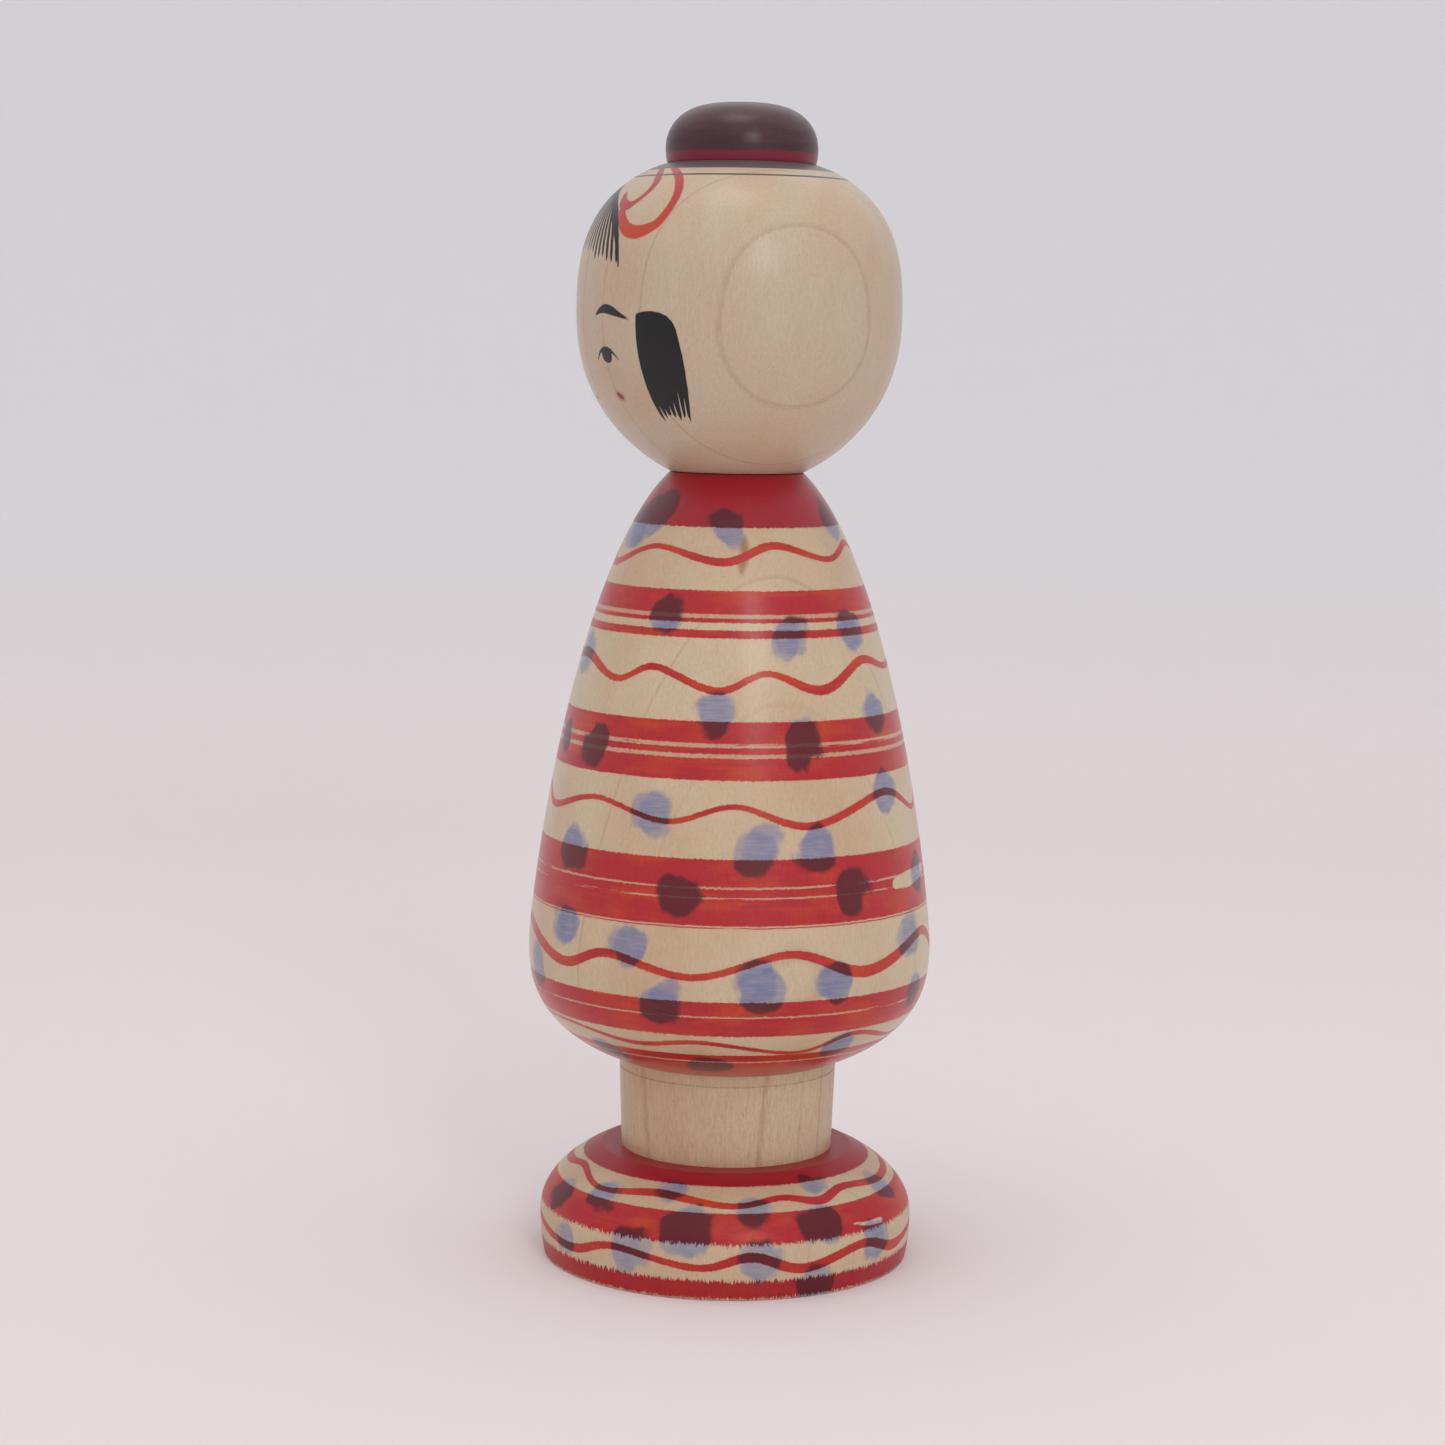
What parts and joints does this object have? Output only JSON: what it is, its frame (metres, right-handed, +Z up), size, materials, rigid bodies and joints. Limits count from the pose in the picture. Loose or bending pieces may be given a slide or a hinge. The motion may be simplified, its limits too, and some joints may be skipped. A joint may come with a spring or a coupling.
{
  "type": "kokeshi doll",
  "caption": "Turned wooden doll with a round head, topknot and drop-shaped body on a stem and domed foot; the head turns on its neck.",
  "frame": {"origin": "centre of the foot's flat underside, where the doll stands", "axes": "+Z up along the turning axis; the face looks along -Y"},
  "size_m": [0.0638, 0.0638, 0.182],
  "materials": {
    "painted_wood": "red dye bands on pale wood under wax",
    "bare_wood": "waxed satin",
    "stained_wood": "dark stain under wax"
  },
  "bodies": {
    "torso": {"foot": "painted_wood", "stem": "bare_wood", "body": "painted_wood"},
    "head": {"head": "bare_wood", "topknot": "stained_wood"}
  },
  "joints": [
    {"name": "head_turn", "type": "hinge", "parent": "torso", "child": "head", "pos_m": [0, 0, 0.125], "axis": [0, 0, 1], "continuous": true}
  ]
}
